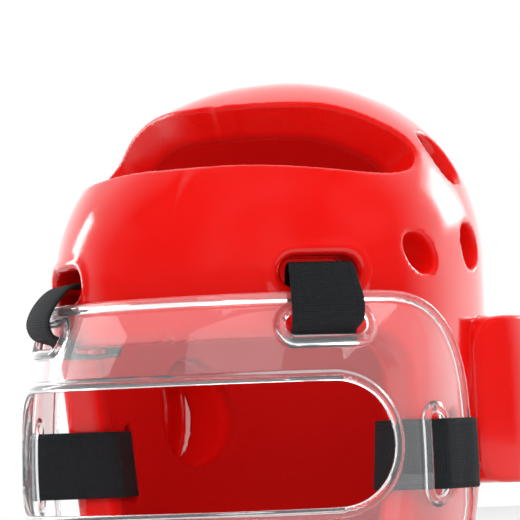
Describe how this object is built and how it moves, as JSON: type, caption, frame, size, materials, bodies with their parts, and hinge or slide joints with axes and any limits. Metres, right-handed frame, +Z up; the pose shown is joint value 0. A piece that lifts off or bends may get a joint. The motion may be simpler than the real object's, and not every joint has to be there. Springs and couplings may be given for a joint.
{
  "type": "foam head guard with face mask",
  "caption": "Glossy dipped-foam sports head guard with crown opening, vents and ear cups, and a clear windowed face mask held on by woven strap loops.",
  "frame": {"origin": "under the middle of the guard's box, on the surface that it stands on", "axes": "+Z up, -Y the way the wearer looks, +X the wearer's left"},
  "size_m": [0.2508, 0.2716, 0.261],
  "materials": {
    "dipped_foam": "glossy dipped skin over foam",
    "clear_sheet": "clear polished plastic sheet",
    "strap": "woven webbing"
  },
  "bodies": {
    "root": {"foam_shell": "dipped_foam", "face_mask": "clear_sheet", "brow_strap_left": "strap", "brow_strap_right": "strap", "cheek_strap_left": "strap", "cheek_strap_right": "strap", "chin_strap": "strap"}
  },
  "joints": []
}
